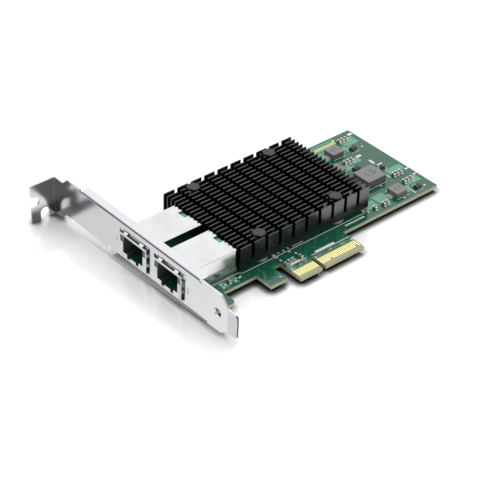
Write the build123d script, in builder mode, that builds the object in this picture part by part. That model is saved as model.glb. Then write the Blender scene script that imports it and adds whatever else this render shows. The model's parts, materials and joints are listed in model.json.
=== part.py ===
from build123d import *
import os

# Low-profile network interface card with two network jacks, a full-height bracket,
# a pin-fin heat sink held by spring push pins, and a four-lane edge connector.
#
# Frame: X = 0 is the bracket's outer face and +X runs into the computer.
# Y = 0 is just inside the end of the edge connector and +Y runs towards the screw tab.
# Z = 0 is the component side of the board and +Z points away from it. Millimetres.

# Circuit board
board_thickness = 1.57
board_left = 1.9
board_right = 136.4
board_top = 68.9
board_bottom = 12.3
board_corner_radius = 0.6
ear_right = 14.3
ear_bottom = 4.5
ear_corner_radius = 1.8
hook_left = 31.8
hook_right = 40.6
hook_bottom = 3.3
hook_corner_radius = 0.8
hook_root_radius = 2.0

# Edge connector
connector_left = 44.65
connector_right = 79.85
relief_top = 12.6
key_centre = 57.25
key_width = 1.9
key_top = 7.8
connector_end = -0.45
connector_corner_radius = 0.8
bevel_length = 0.35
bevel_depth = 0.12
contact_pitch = 1.0
contact_width = 0.7
contact_thickness = 0.06
contact_start = 1.4
contact_end = 5.4
contact_to_key = 1.5
contacts_before_key = 11
contacts_after_key = 21
short_contacts = (16, 30)
short_contact_start = 2.5

# Bracket, folded from one sheet
sheet = 0.86
bend_radius = 0.4
bracket_low = -3.78
bracket_width = 18.42
tab_seat = 106.15
tab_reach = 12.2
tab_offset = 3.18
shoulder_start = 97.03
neck_start = 100.24
lower_shoulder_start = 98.44
lower_neck_start = 101.18
upper_flange_start = 10.31
upper_flange_end = 86.94
upper_flange_reach = 4.1
lower_flange_reach = 4.0
lower_flange_overhangs = (4.7, 3.3)
relief_width = 1.2
relief_depth = 1.7
taper_start = -2.93
tongue_root = -6.9
tongue_end = -13.0
tongue_low = -0.75
tongue_high = 10.2
tongue_set = 0.46
tongue_chamfer = 1.0
face_hole_y = -0.9
face_hole_z = 5.0
face_hole_diameter = 4.2
screw_notch_width = 4.42
screw_notch_depth = 4.25
screw_notch_z = 2.75
screw_notch_lead = 1.6
guide_notch_width = 4.4
guide_notch_x = -5.35
guide_notch_top = -1.74
tab_corner = 0.5

# Bracket ears and their screws
ear_screw_x = 7.0
ear_to_jacks = (9.05, 4.45)
ear_width = 6.0
ear_reach = 10.4
joggle_start = 3.9
joggle_end = 5.2
screw_hole_diameter = 3.2
screw_shaft_diameter = 2.5
screw_shaft_clearance = 0.05
screw_head_diameter = 5.4
screw_head_height = 1.8
screw_head_round = 0.7
screw_tip = 1.2
recess_length = 3.0
recess_width = 0.7
recess_depth = 1.0

# Network jacks
jack_pair_centre = 40.0
jack_spacing = 4.7
jack_width = 17.6
jack_front = -1.0
jack_rear = 27.8
jack_top = 10.15
jack_bottom = -1.45
jack_step = 16.0
jack_cutout_gap = 0.2
shield_sheet = 0.25
shield_gap = 0.05
window_side_gap = 0.95
window_top_gap = 0.8
window_bottom_gap = 0.3
port_top = 9.05
port_floor = 0.9
port_side = 2.35
light_band_side = 0.7
light_band_height = 3.15
latch_width = 7.5
latch_floor = -1.0
latch_lip_width = 3.9
latch_lip_top = 0.1
shield_notch_length = 2.3
shield_notch_width = 4.4
shield_notch_depth = 1.3
shield_notch_offset = 1.6
leaf_thickness = 0.15
leaf_length = 3.4
leaf_crest = 1.3
leaf_rise = 0.7
leaf_width = 2.1
top_leaf_offset = 5.1
side_leaf_heights = (2.7, 7.4)
side_leaf_width = 1.5
ground_peg_x = 22.0
ground_peg_width = 1.8
ground_peg_length = 2.3
peg_hole_gap = 0.25

# Inside of a jack
housing_depth = 14.2
cavity_depth = 12.9
cavity_side = 2.7
cavity_wall = 0.35
light_pipe_width = 1.5
light_pipe_height = 2.7
inner_board_thickness = 0.5
inner_board_start = 0.6
inner_board_gap = 0.05
upper_board_offset = -1.2
upper_board_width = 11.0
spring_count = 8
spring_pitch = 1.02
spring_width = 0.4
spring_thickness = 0.3
spring_drop = 2.7
spring_tip_x = 6.4
spring_bend_x = 2.2
spring_bend_run = 0.9
module_gap = 0.1
tail_pitch_y = 2.8
tail_pitch_x = 4.5
tail_count_y = 5
tail_width = 0.6
tail_length = 2.7
tail_hole_gap = 0.15
tail_x = 22.0

# Heat sink
heatsink_left = 28.3
heatsink_length = 71.5
heatsink_width = 49.8
heatsink_centre_y = 43.1
heatsink_bottom = 1.2
heatsink_base = 2.95
fin_top = 11.4
fin_count = 21
fin_thickness = 0.5
cross_slot_count = 9
cross_slot_width = 1.7

# Spring push pins of the heat sink
pin_offset_x = 12.9
pin_spacing_x = 42.4
pin_inset_y = 3.95
pin_head_diameter = 6.2
pin_head_height = 1.2
pin_head_top = 12.0
pin_head_turn = 4
pin_head_chamfer = 0.25
pin_head_gap = 0.25
pin_shaft_diameter = 2.4
pin_hole_gap = 0.3
pin_barb_diameter = 3.6
pin_barb_length = 1.9
pin_barb_tip_diameter = 1.4
pin_barb_gap = 0.03
pin_side_count = 16
coil_diameter = 4.6
coil_wire = 0.5
coil_turn_count = 3
coil_side_count = 12
coil_seat_gap = 0.02

# Controller under the heat sink
chip_size = 25.0
substrate_thickness = 0.65
die_length = 12.0
die_width = 10.0
die_thickness = 0.35

# Parts to the right of the heat sink are placed by their distance from it.
# Power inductors: distance, Y, length, width and height
inductor_sizes = {
    "power_inductor": (16.0, 33.7, 10.8, 10.0, 3.4),
    "input_inductor": (17.6, 57.95, 6.8, 6.3, 2.5),
    "core_inductor": (7.95, 46.7, 6.7, 6.2, 2.5),
    "output_inductor": (18.35, 18.95, 6.7, 6.3, 2.5),
}
lead_thickness = 0.5
lead_reach = 1.4
lead_share = 0.46
body_lift = 0.1
body_edge = 0.35

# Ceramic capacitors: distance, Y and number in the row
capacitor_rows = [
    (28.2, 63.6, 3),
    (18.4, 49.4, 3),
    (28.8, 29.5, 3),
    (28.8, 22.9, 3),
    (8.6, 16.1, 2),
    (2.5, 16.3, 1),
]
capacitor_length = 2.0
capacitor_width = 1.25
capacitor_height = 1.2
capacitor_end = 0.45
capacitor_end_skin = 0.04
capacitor_row_pitch = 2.05

# Single ceramic capacitors along the front edge
edge_capacitors = [(20.4, 16.0), (45.9, 10.0), (54.05, 10.3)]

# Switching regulators: distance and Y
regulator_places = [(27.4, 55.8), (17.2, 43.2), (28.5, 16.6)]
regulator_length = 3.0
regulator_width = 2.4
regulator_height = 0.95
regulator_lift = 0.1
regulator_lead_width = 0.4
regulator_lead_reach = 0.6
regulator_lead_thickness = 0.25
regulator_lead_pitch = 0.8
regulator_lead_count = 3

# Round capacitor beside the power inductor
round_capacitor_distance = 27.0
round_capacitor_y = 36.8
round_capacitor_diameter = 2.6
round_capacitor_height = 1.8
round_capacitor_edge = 0.3

# Values worked out from the driving ones
bracket_high = bracket_low + bracket_width
tab_low = bracket_low - tab_offset
tab_high = bracket_high - tab_offset
tab_outer = tab_seat + sheet
outer_bend_radius = bend_radius + sheet
jack_pitch = jack_width + jack_spacing
jack_centres = {
    "jack_1": jack_pair_centre + jack_pitch / 2,
    "jack_2": jack_pair_centre - jack_pitch / 2,
}
jack_pair_half = jack_width + jack_spacing / 2
ear_screw_ys = (
    jack_pair_centre - jack_pair_half - ear_to_jacks[0],
    jack_pair_centre + jack_pair_half + ear_to_jacks[1],
)
lower_flange_start = ear_screw_ys[0] - lower_flange_overhangs[0]
lower_flange_end = ear_screw_ys[1] + lower_flange_overhangs[1]
fin_pitch = (heatsink_width - fin_thickness) / (fin_count - 1)
heatsink_front = heatsink_centre_y - heatsink_width / 2
heatsink_back = heatsink_centre_y + heatsink_width / 2
heatsink_right = heatsink_left + heatsink_length
base_top = heatsink_bottom + heatsink_base
pin_spacing_y = heatsink_width - 2 * pin_inset_y
pin_left = heatsink_left + pin_offset_x
pin_centre_x = pin_left + pin_spacing_x / 2
pin_head_bottom = pin_head_top - pin_head_height


def span(x_range, y_range, mode=Mode.ADD):
    """A rectangle between two limits on each axis of the sketch."""
    x0, x1 = x_range
    y0, y1 = y_range
    with Locations(((x0 + x1) / 2, (y0 + y1) / 2)):
        Rectangle(x1 - x0, y1 - y0, mode=mode)


def block(x_range, y_range, z_range, mode=Mode.ADD):
    """A box between two limits on each axis."""
    centre = [(low + high) / 2 for low, high in (x_range, y_range, z_range)]
    size = [high - low for low, high in (x_range, y_range, z_range)]
    with Locations(tuple(centre)):
        Box(*size, mode=mode)


def save(builder, name):
    """Label a finished piece and write it under its own name."""
    builder.part.label = name
    export_step(builder.part, f"parts/{name}.step")


os.makedirs("parts", exist_ok=True)


# Circuit board: outline with the bracket ear, the retention hook and the edge connector
with BuildPart() as circuit_board:
    with BuildSketch(Plane.XY.offset(-board_thickness)) as outline:
        span((board_left, board_right), (board_bottom, board_top))
        fillet(outline.vertices().sort_by(Axis.X)[-2:], board_corner_radius)
        span((board_left, ear_right), (ear_bottom, board_bottom))
        span((hook_left, hook_right), (hook_bottom, board_bottom))
        span((connector_left, connector_right), (connector_end, board_bottom))
        root = outline.vertices().filter_by_position(Axis.Y, board_bottom, board_bottom)
        fillet(root.filter_by_position(Axis.X, hook_left, hook_left), hook_root_radius)
        ear_corners = outline.vertices().filter_by_position(Axis.Y, ear_bottom, ear_bottom)
        fillet(ear_corners, ear_corner_radius)
        hook_corners = outline.vertices().filter_by_position(Axis.Y, hook_bottom, hook_bottom)
        fillet(hook_corners, hook_corner_radius)
        # Round-ended relief between the hook and the connector, and the key notch
        for left, right, top in (
            (hook_right, connector_left, relief_top),
            (key_centre - key_width / 2, key_centre + key_width / 2, key_top),
        ):
            radius = (right - left) / 2
            span((left, right), (connector_end, top - radius), mode=Mode.SUBTRACT)
            with Locations(((left + right) / 2, top - radius)):
                Circle(radius, mode=Mode.SUBTRACT)
        tips = outline.vertices().filter_by_position(Axis.Y, connector_end, connector_end)
        fillet(tips, connector_corner_radius)
        # Cut-outs that let the fronts of the jacks sink through the board
        for centre in jack_centres.values():
            half = jack_width / 2 + jack_cutout_gap
            cut_end = jack_step + jack_cutout_gap
            span((board_left, cut_end), (centre - half, centre + half), mode=Mode.SUBTRACT)
    extrude(amount=board_thickness)
    # Bevel on both faces of the edge connector
    with BuildSketch(Plane.YZ.offset(connector_left)) as bevel:
        with BuildLine():
            Polyline(
                (connector_end, 0),
                (connector_end + bevel_length, 0),
                (connector_end, -bevel_depth),
                close=True,
            )
        make_face()
        mirror(about=Plane.XZ.offset(board_thickness / 2))
    extrude(amount=connector_right - connector_left, mode=Mode.SUBTRACT)
    # Holes for the bracket screws and push pins, and slots for the jacks' tails and pegs
    with Locations(*[(ear_screw_x, y, 0) for y in ear_screw_ys]):
        Hole(screw_hole_diameter / 2, depth=board_thickness)
    with Locations((pin_centre_x, heatsink_centre_y, 0)):
        with GridLocations(pin_spacing_x, pin_spacing_y, 2, 2):
            Hole(pin_shaft_diameter / 2 + pin_hole_gap, depth=board_thickness)
    for centre in jack_centres.values():
        with Locations((tail_x, centre, 0)):
            with GridLocations(tail_pitch_x, tail_pitch_y, 2, tail_count_y):
                Box(
                    tail_width + 2 * tail_hole_gap,
                    tail_width + 2 * tail_hole_gap,
                    board_thickness,
                    align=(Align.CENTER, Align.CENTER, Align.MAX),
                    mode=Mode.SUBTRACT,
                )
        with Locations((ground_peg_x, centre, 0)):
            with GridLocations(0, jack_width - shield_sheet, 1, 2):
                Box(
                    ground_peg_width + 2 * peg_hole_gap,
                    shield_sheet + 2 * peg_hole_gap,
                    board_thickness,
                    align=(Align.CENTER, Align.CENTER, Align.MAX),
                    mode=Mode.SUBTRACT,
                )
save(circuit_board, "circuit_board")


# Gold contacts on both faces of the edge connector
contact_xs = [
    key_centre - contact_to_key - contact_pitch * step
    for step in reversed(range(contacts_before_key))
]
contact_xs += [
    key_centre + contact_to_key + contact_pitch * step for step in range(contacts_after_key)
]
for name, face_z, short in (
    ("edge_contacts_front", 0, short_contacts),
    ("edge_contacts_back", -board_thickness - contact_thickness, ()),
):
    with BuildPart() as edge_contacts:
        with BuildSketch(Plane.XY.offset(face_z)):
            for index, x in enumerate(contact_xs):
                start = short_contact_start if index in short else contact_start
                span((x - contact_width / 2, x + contact_width / 2), (start, contact_end))
        extrude(amount=contact_thickness)
    save(edge_contacts, name)


# Bracket: face, screw tab, two flanges, two mounting ears and the lower tongue
with BuildPart() as bracket:
    with BuildSketch(Plane.YZ):
        with BuildLine():
            Polyline(
                (taper_start, bracket_high),
                (shoulder_start, bracket_high),
                (neck_start, tab_high),
                (tab_outer, tab_high),
                (tab_outer, tab_low),
                (lower_neck_start, tab_low),
                (lower_shoulder_start, bracket_low),
                (taper_start, bracket_low),
                (tongue_root, tongue_low),
                (tongue_root, tongue_high),
                close=True,
            )
        make_face()
        for centre in jack_centres.values():
            half = jack_width / 2 + window_side_gap
            low = jack_bottom - window_bottom_gap
            high = jack_top + window_top_gap
            span((centre - half, centre + half), (low, high), mode=Mode.SUBTRACT)
        with Locations((face_hole_y, face_hole_z)):
            Circle(face_hole_diameter / 2, mode=Mode.SUBTRACT)
    extrude(amount=sheet)

    # Tab that the computer's case screw clamps
    with BuildSketch(Plane.XZ.offset(-tab_seat)) as tab:
        span((-tab_reach, sheet), (tab_low, tab_high))
        notch_radius = screw_notch_width / 2
        notch_centre = -tab_reach + screw_notch_depth - notch_radius
        notch_low = screw_notch_z - notch_radius
        notch_high = screw_notch_z + notch_radius
        span((-tab_reach, notch_centre), (notch_low, notch_high), mode=Mode.SUBTRACT)
        with Locations((notch_centre, screw_notch_z)):
            Circle(notch_radius, mode=Mode.SUBTRACT)
        guide_radius = guide_notch_width / 2
        guide_centre = guide_notch_top - guide_radius
        guide_range = (guide_notch_x - guide_radius, guide_notch_x + guide_radius)
        span(guide_range, (tab_low, guide_centre), mode=Mode.SUBTRACT)
        with Locations((guide_notch_x, guide_centre)):
            Circle(guide_radius, mode=Mode.SUBTRACT)
        outer = tab.vertices().filter_by_position(Axis.X, -tab_reach, -tab_reach)
        fillet(outer.filter_by_position(Axis.Y, notch_high, notch_high), screw_notch_lead)
        corners = tab.vertices().filter_by_position(Axis.X, -tab_reach, -tab_reach)
        chamfer(corners.sort_by(Axis.Y)[0], tab_corner)
    extrude(amount=-sheet)

    # Flanges along both long edges, with bend reliefs at their ends
    upper_range = (upper_flange_start, upper_flange_end)
    lower_range = (lower_flange_start, lower_flange_end)
    block((0, upper_flange_reach), upper_range, (bracket_high - sheet, bracket_high))
    block((0, lower_flange_reach), lower_range, (bracket_low, bracket_low + sheet))
    for (start, end), low, high in (
        (upper_range, bracket_high - relief_depth, bracket_high),
        (lower_range, bracket_low, bracket_low + relief_depth),
    ):
        block((0, sheet), (start - relief_width, start), (low, high), mode=Mode.SUBTRACT)
        block((0, sheet), (end, end + relief_width), (low, high), mode=Mode.SUBTRACT)

    # Ears joggled up from the lower flange to the underside of the board
    for y in ear_screw_ys:
        with BuildSketch(Plane.XZ.offset(-(y - ear_width / 2))):
            with BuildLine():
                Polyline(
                    (sheet, bracket_low),
                    (joggle_start, bracket_low),
                    (joggle_end, -board_thickness - sheet),
                    (ear_reach, -board_thickness - sheet),
                    (ear_reach, -board_thickness),
                    (joggle_end - bend_radius, -board_thickness),
                    (joggle_start - bend_radius, bracket_low + sheet),
                    (sheet, bracket_low + sheet),
                    close=True,
                )
            make_face()
        extrude(amount=-ear_width)
    with Locations(*[(ear_screw_x, y, -board_thickness) for y in ear_screw_ys]):
        Hole(screw_shaft_diameter / 2 + screw_shaft_clearance, depth=sheet)

    # Tongue that enters the slot in the computer's case, set slightly outwards
    with BuildSketch(Plane.XY.offset(tongue_low)):
        with BuildLine():
            Polyline(
                (0, tongue_root),
                (sheet, tongue_root),
                (sheet - tongue_set, tongue_end),
                (-tongue_set, tongue_end),
                close=True,
            )
        make_face()
    extrude(amount=tongue_high - tongue_low)
    tip_edges = bracket.edges().filter_by(Axis.X).group_by(Axis.Y)[0]
    chamfer(tip_edges, tongue_chamfer)

    # Bends: the inner and outer corners share one centre
    upright = bracket.edges().filter_by(Axis.Z)
    inner_tab_bend = upright.filter_by_position(Axis.X, 0, 0).sort_by(Axis.Y)
    tab_inner = [e for e in inner_tab_bend if abs(e.center().Y - tab_seat) < bend_radius]
    fillet(tab_inner, bend_radius)
    upright = bracket.edges().filter_by(Axis.Z)
    tab_outer_edge = [
        e
        for e in upright.filter_by_position(Axis.X, sheet, sheet)
        if abs(e.center().Y - tab_outer) < bend_radius
    ]
    fillet(tab_outer_edge, outer_bend_radius)
    long_edges = bracket.edges().filter_by(Axis.Y)
    for x, z, radius in (
        (0, bracket_high, outer_bend_radius),
        (sheet, bracket_high - sheet, bend_radius),
        (0, bracket_low, outer_bend_radius),
        (sheet, bracket_low + sheet, bend_radius),
    ):
        bend = [
            e
            for e in long_edges.filter_by_position(Axis.X, x, x)
            if abs(e.center().Z - z) < bend_radius and e.length > relief_width
        ]
        flange = upper_range if z > 0 else lower_range
        bend = [e for e in bend if flange[0] < e.center().Y < flange[1]]
        fillet(bend, radius)
save(bracket, "bracket")


# Screws that hold the bracket's ears to the board, driven from the component side
with BuildPart() as bracket_screws:
    with Locations(*[(ear_screw_x, y, 0) for y in ear_screw_ys]):
        Cylinder(
            screw_head_diameter / 2,
            screw_head_height,
            align=(Align.CENTER, Align.CENTER, Align.MIN),
        )
        Cylinder(
            screw_shaft_diameter / 2,
            board_thickness + sheet + screw_tip,
            align=(Align.CENTER, Align.CENTER, Align.MAX),
        )
    rims = bracket_screws.edges().filter_by(GeomType.CIRCLE).group_by(Axis.Z)[-1]
    chamfer(rims, screw_head_round)
    with BuildSketch(Plane.XY.offset(screw_head_height)):
        with Locations(*[(ear_screw_x, y) for y in ear_screw_ys]):
            Rectangle(recess_length, recess_width)
            Rectangle(recess_width, recess_length)
    extrude(amount=-recess_depth, mode=Mode.SUBTRACT)
save(bracket_screws, "bracket_screws")


# Side profile of a contact leaf that springs out of the shield and back to it
leaf_foot = -shield_sheet / 2
leaf_points = [
    (0, leaf_foot),
    (leaf_thickness, leaf_foot),
    (leaf_thickness, 0),
    (leaf_crest, leaf_rise - leaf_thickness),
    (leaf_length - leaf_thickness, 0),
    (leaf_length - leaf_thickness, leaf_foot),
    (leaf_length, leaf_foot),
    (leaf_length, leaf_thickness / 2),
    (leaf_crest, leaf_rise),
    (0, leaf_thickness),
]


def port_outline(centre, side):
    """Mouth of the port: the plug's opening with the latch slot below it."""
    half = jack_width / 2 - side
    span((centre - half, centre + half), (port_floor, port_top))
    span((centre - latch_width / 2, centre + latch_width / 2), (latch_floor, port_top))


light_band_low = port_top - light_band_height
housing_front = jack_front + shield_sheet
housing_back = housing_front + housing_depth
cavity_end = housing_front + cavity_depth
inner_half = jack_width / 2 - shield_sheet - shield_gap
inner_low = jack_bottom + shield_sheet + shield_gap
inner_high = jack_top - shield_sheet - shield_gap

for jack, centre in jack_centres.items():
    left = centre - jack_width / 2
    right = centre + jack_width / 2

    # Drawn metal can round the jack, open below where it stands on the board
    with BuildPart() as shield:
        with BuildSketch(Plane.XZ.offset(-left)):
            span((jack_front, jack_step), (jack_bottom, jack_top))
            span((jack_step, jack_rear), (0, jack_top))
        extrude(amount=-jack_width)
        with BuildSketch(Plane.XZ.offset(-left - shield_sheet)):
            inner_front = jack_front + shield_sheet
            inner_step = jack_step - shield_sheet
            inner_rear = jack_rear - shield_sheet
            inner_top = jack_top - shield_sheet
            span((inner_front, inner_step), (jack_bottom + shield_sheet, inner_top))
            span((inner_step, inner_rear), (0, inner_top))
        extrude(amount=-(jack_width - 2 * shield_sheet), mode=Mode.SUBTRACT)
        with BuildSketch(Plane.YZ.offset(jack_front)):
            port_outline(centre, port_side)
            half_lip = latch_lip_width / 2
            lip = (latch_floor, latch_lip_top)
            span((centre - half_lip, centre + half_lip), lip, mode=Mode.SUBTRACT)
            half_band = jack_width / 2 - light_band_side
            span((centre - half_band, centre + half_band), (light_band_low, port_top))
        extrude(amount=shield_sheet, mode=Mode.SUBTRACT)
        notch_y = centre + shield_notch_offset
        block(
            (jack_rear - shield_notch_length, jack_rear),
            (notch_y - shield_notch_width / 2, notch_y + shield_notch_width / 2),
            (jack_top - shield_notch_depth, jack_top),
            mode=Mode.SUBTRACT,
        )
        # Spring leaves that ground the can against the bracket's window
        for side in (-1, 1):
            top_plane = Plane(
                (jack_front, centre + side * top_leaf_offset, jack_top), (1, 0, 0), (0, -1, 0)
            )
            with BuildSketch(top_plane):
                with BuildLine():
                    Polyline(*leaf_points, close=True)
                make_face()
            extrude(amount=leaf_width / 2, both=True)
            for height in side_leaf_heights:
                side_plane = Plane(
                    (jack_front, centre + side * jack_width / 2, height), (1, 0, 0), (0, 0, side)
                )
                with BuildSketch(side_plane):
                    with BuildLine():
                        Polyline(*leaf_points, close=True)
                    make_face()
                extrude(amount=side_leaf_width / 2, both=True)
        # Grounding pegs soldered through the board
        for y in (left + shield_sheet / 2, right - shield_sheet / 2):
            block(
                (ground_peg_x - ground_peg_width / 2, ground_peg_x + ground_peg_width / 2),
                (y - shield_sheet / 2, y + shield_sheet / 2),
                (-ground_peg_length, shield_sheet),
            )
    save(shield, f"{jack}_shield")

    # Moulded housing with the plug's cavity and two channels for the light pipes
    with BuildPart() as housing:
        block(
            (housing_front, housing_back),
            (centre - inner_half, centre + inner_half),
            (inner_low, inner_high),
        )
        with BuildSketch(Plane.YZ.offset(housing_front)):
            port_outline(centre, cavity_side)
        extrude(amount=cavity_depth, mode=Mode.SUBTRACT)
        pipe_y = jack_width / 2 - cavity_side + cavity_wall + light_pipe_width / 2
        pipe_z = port_top - light_pipe_height / 2
        with BuildSketch(Plane.YZ.offset(housing_front)):
            with Locations((centre - pipe_y, pipe_z), (centre + pipe_y, pipe_z)):
                Rectangle(light_pipe_width + shield_gap, light_pipe_height + shield_gap)
        extrude(amount=cavity_depth, mode=Mode.SUBTRACT)
    save(housing, f"{jack}_housing")

    # Clear pipes that carry the link and activity lights to the face
    with BuildPart() as light_pipes:
        with BuildSketch(Plane.YZ.offset(housing_front)):
            with Locations((centre - pipe_y, pipe_z), (centre + pipe_y, pipe_z)):
                Rectangle(light_pipe_width, light_pipe_height)
        extrude(amount=cavity_depth)
    save(light_pipes, f"{jack}_light_pipes")

    # Eight sprung contacts under the roof of the cavity
    with BuildPart() as springs:
        with BuildSketch(Plane.XZ.offset(-centre)):
            with BuildLine():
                Polyline(
                    (cavity_end, port_top),
                    (spring_bend_x, port_top),
                    (spring_tip_x, port_top - spring_drop),
                    (spring_tip_x + spring_thickness, port_top - spring_drop),
                    (spring_bend_x + spring_bend_run, port_top - spring_thickness),
                    (cavity_end, port_top - spring_thickness),
                    close=True,
                )
            make_face()
        extrude(amount=spring_width / 2, both=True)
        spring = springs.part
    with BuildPart() as contacts:
        with Locations((0, 0, 0)):
            with GridLocations(0, spring_pitch, 1, spring_count):
                add(spring)
    save(contacts, f"{jack}_contacts")

    # Block of transformers behind the housing, between the jack's two small boards
    module_start = housing_back + module_gap
    module_end = jack_rear - shield_sheet - shield_gap
    upper_board_low = inner_high - inner_board_thickness
    with BuildPart() as module:
        block(
            (module_start, module_end),
            (centre - inner_half, centre + inner_half),
            (module_gap, upper_board_low),
        )
    save(module, f"{jack}_transformer_block")

    # One small board lies on the block, the other in the channel of the latch
    upper_y = centre + upper_board_offset
    half_latch = latch_width / 2 - inner_board_gap
    with BuildPart() as inner_boards:
        block(
            (module_start, module_end),
            (upper_y - upper_board_width / 2, upper_y + upper_board_width / 2),
            (upper_board_low, inner_high),
        )
        block(
            (inner_board_start, cavity_end),
            (centre - half_latch, centre + half_latch),
            (latch_floor, latch_floor + inner_board_thickness),
        )
    save(inner_boards, f"{jack}_inner_boards")

with BuildPart() as jack_tails:
    for centre in jack_centres.values():
        with Locations((tail_x, centre, module_gap)):
            with GridLocations(tail_pitch_x, tail_pitch_y, 2, tail_count_y):
                Box(
                    tail_width,
                    tail_width,
                    tail_length,
                    align=(Align.CENTER, Align.CENTER, Align.MAX),
                )
save(jack_tails, "jack_tails")


# Heat sink: a comb extrusion cut across into a field of pins
with BuildPart() as heatsink:
    with BuildSketch(Plane.YZ.offset(heatsink_left)):
        span((heatsink_front, heatsink_back), (heatsink_bottom, base_top))
        fin_height = fin_top - base_top
        with Locations((heatsink_centre_y, base_top + fin_height / 2)):
            with GridLocations(fin_pitch, 0, fin_count, 1):
                Rectangle(fin_thickness, fin_height)
    extrude(amount=heatsink_length)
    cross_slot_pitch = (heatsink_length + cross_slot_width) / (cross_slot_count + 1)
    with BuildSketch(Plane.XZ.offset(-heatsink_front)):
        with Locations((heatsink_left + heatsink_length / 2, base_top + fin_height / 2)):
            with GridLocations(cross_slot_pitch, 0, cross_slot_count, 1):
                Rectangle(cross_slot_width, fin_height)
    extrude(amount=-heatsink_width, mode=Mode.SUBTRACT)
    # Round pockets for the push pins leave the outermost row of fins standing
    with BuildSketch(Plane.XY.offset(base_top)):
        with Locations((pin_centre_x, heatsink_centre_y)):
            with GridLocations(pin_spacing_x, pin_spacing_y, 2, 2):
                Circle(pin_head_diameter / 2 + pin_head_gap)
        keep_front = (heatsink_front, heatsink_front + fin_thickness)
        keep_back = (heatsink_back - fin_thickness, heatsink_back)
        span((heatsink_left, heatsink_right), keep_front, mode=Mode.SUBTRACT)
        span((heatsink_left, heatsink_right), keep_back, mode=Mode.SUBTRACT)
    extrude(amount=fin_height, mode=Mode.SUBTRACT)
    with Locations((pin_centre_x, heatsink_centre_y, base_top)):
        with GridLocations(pin_spacing_x, pin_spacing_y, 2, 2):
            Hole(pin_shaft_diameter / 2 + pin_hole_gap, depth=heatsink_base)
save(heatsink, "heatsink")


# Push pins: a six-sided head, a shaft through heat sink and board, and a barbed tip
with BuildPart() as push_pin:
    with BuildSketch(Plane.XY.offset(pin_head_bottom)):
        RegularPolygon(pin_head_diameter / 2, 6, rotation=pin_head_turn)
    extrude(amount=pin_head_height)
    chamfer(push_pin.edges().group_by(Axis.Z)[-1], pin_head_chamfer)
    barb_top = -board_thickness - pin_barb_gap
    with BuildSketch(Plane.XY.offset(barb_top)):
        RegularPolygon(pin_shaft_diameter / 2, pin_side_count)
    extrude(amount=pin_head_bottom - barb_top)
    with BuildSketch(Plane.XY.offset(barb_top)):
        RegularPolygon(pin_barb_diameter / 2, pin_side_count)
    with BuildSketch(Plane.XY.offset(barb_top - pin_barb_length)):
        RegularPolygon(pin_barb_tip_diameter / 2, pin_side_count)
    loft()
    pin = push_pin.part
with BuildPart() as push_pins:
    with Locations((pin_centre_x, heatsink_centre_y, 0)):
        with GridLocations(pin_spacing_x, pin_spacing_y, 2, 2):
            add(pin)
save(push_pins, "push_pins")


# Square-wire coil springs that press the heat sink down, one round each push pin
with BuildPart() as coil:
    coil_radius = (coil_diameter - coil_wire) / 2
    coil_start = base_top + coil_seat_gap + coil_wire / 2
    coil_end = pin_head_bottom - coil_seat_gap - coil_wire / 2
    coil_steps = coil_turn_count * coil_side_count
    coil_points = [
        Vector(coil_radius, 0, coil_start + (coil_end - coil_start) * step / coil_steps).rotate(
            Axis.Z, 360 * step / coil_side_count
        )
        for step in range(coil_steps + 1)
    ]
    with BuildLine() as coil_path:
        Polyline(*coil_points)
    with BuildSketch(Plane(coil_path.line @ 0, z_dir=coil_path.line % 0)):
        Rectangle(coil_wire, coil_wire)
    sweep(path=coil_path.line, transition=Transition.RIGHT)
    coil_solid = coil.part
with BuildPart() as push_pin_springs:
    with Locations((pin_centre_x, heatsink_centre_y, 0)):
        with GridLocations(pin_spacing_x, pin_spacing_y, 2, 2):
            add(coil_solid)
save(push_pin_springs, "push_pin_springs")


# Controller package with its bare die, and the pad between die and heat sink
with BuildPart() as controller_chip:
    with BuildSketch():
        with Locations((pin_centre_x, heatsink_centre_y)):
            Rectangle(chip_size, chip_size)
    extrude(amount=substrate_thickness)
    with BuildSketch(Plane.XY.offset(substrate_thickness)):
        with Locations((pin_centre_x, heatsink_centre_y)):
            Rectangle(die_length, die_width)
    extrude(amount=die_thickness)
save(controller_chip, "controller_chip")

with BuildPart() as thermal_pad:
    with BuildSketch(Plane.XY.offset(substrate_thickness + die_thickness)):
        with Locations((pin_centre_x, heatsink_centre_y)):
            Rectangle(die_length, die_width)
    extrude(amount=heatsink_bottom - substrate_thickness - die_thickness)
save(thermal_pad, "thermal_pad")


# Power inductors: a moulded block on two flat leads
inductors = {
    name: (heatsink_right + distance, y, length, width, height)
    for name, (distance, y, length, width, height) in inductor_sizes.items()
}
for name, (x, y, length, width, height) in inductors.items():
    with BuildPart() as inductor:
        with BuildSketch(Plane.XY.offset(body_lift)):
            with Locations((x, y)):
                Rectangle(length, width)
        extrude(amount=height - body_lift)
        chamfer(inductor.edges().filter_by(Axis.Z), body_edge)
        chamfer(inductor.edges().group_by(Axis.Z)[-1], body_lift)
    save(inductor, name)
with BuildPart() as inductor_leads:
    for x, y, length, width, height in inductors.values():
        for side in (-1, 1):
            lead_x = x + side * length / 2
            lead = (width * lead_share) / 2
            near, far = sorted((lead_x, lead_x + side * lead_reach))
            block((near, far), (y - lead, y + lead), (0, lead_thickness))
            near, far = sorted((lead_x, lead_x - side * lead_reach))
            block((near, far), (y - lead, y + lead), (0, body_lift))
save(inductor_leads, "inductor_leads")


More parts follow.
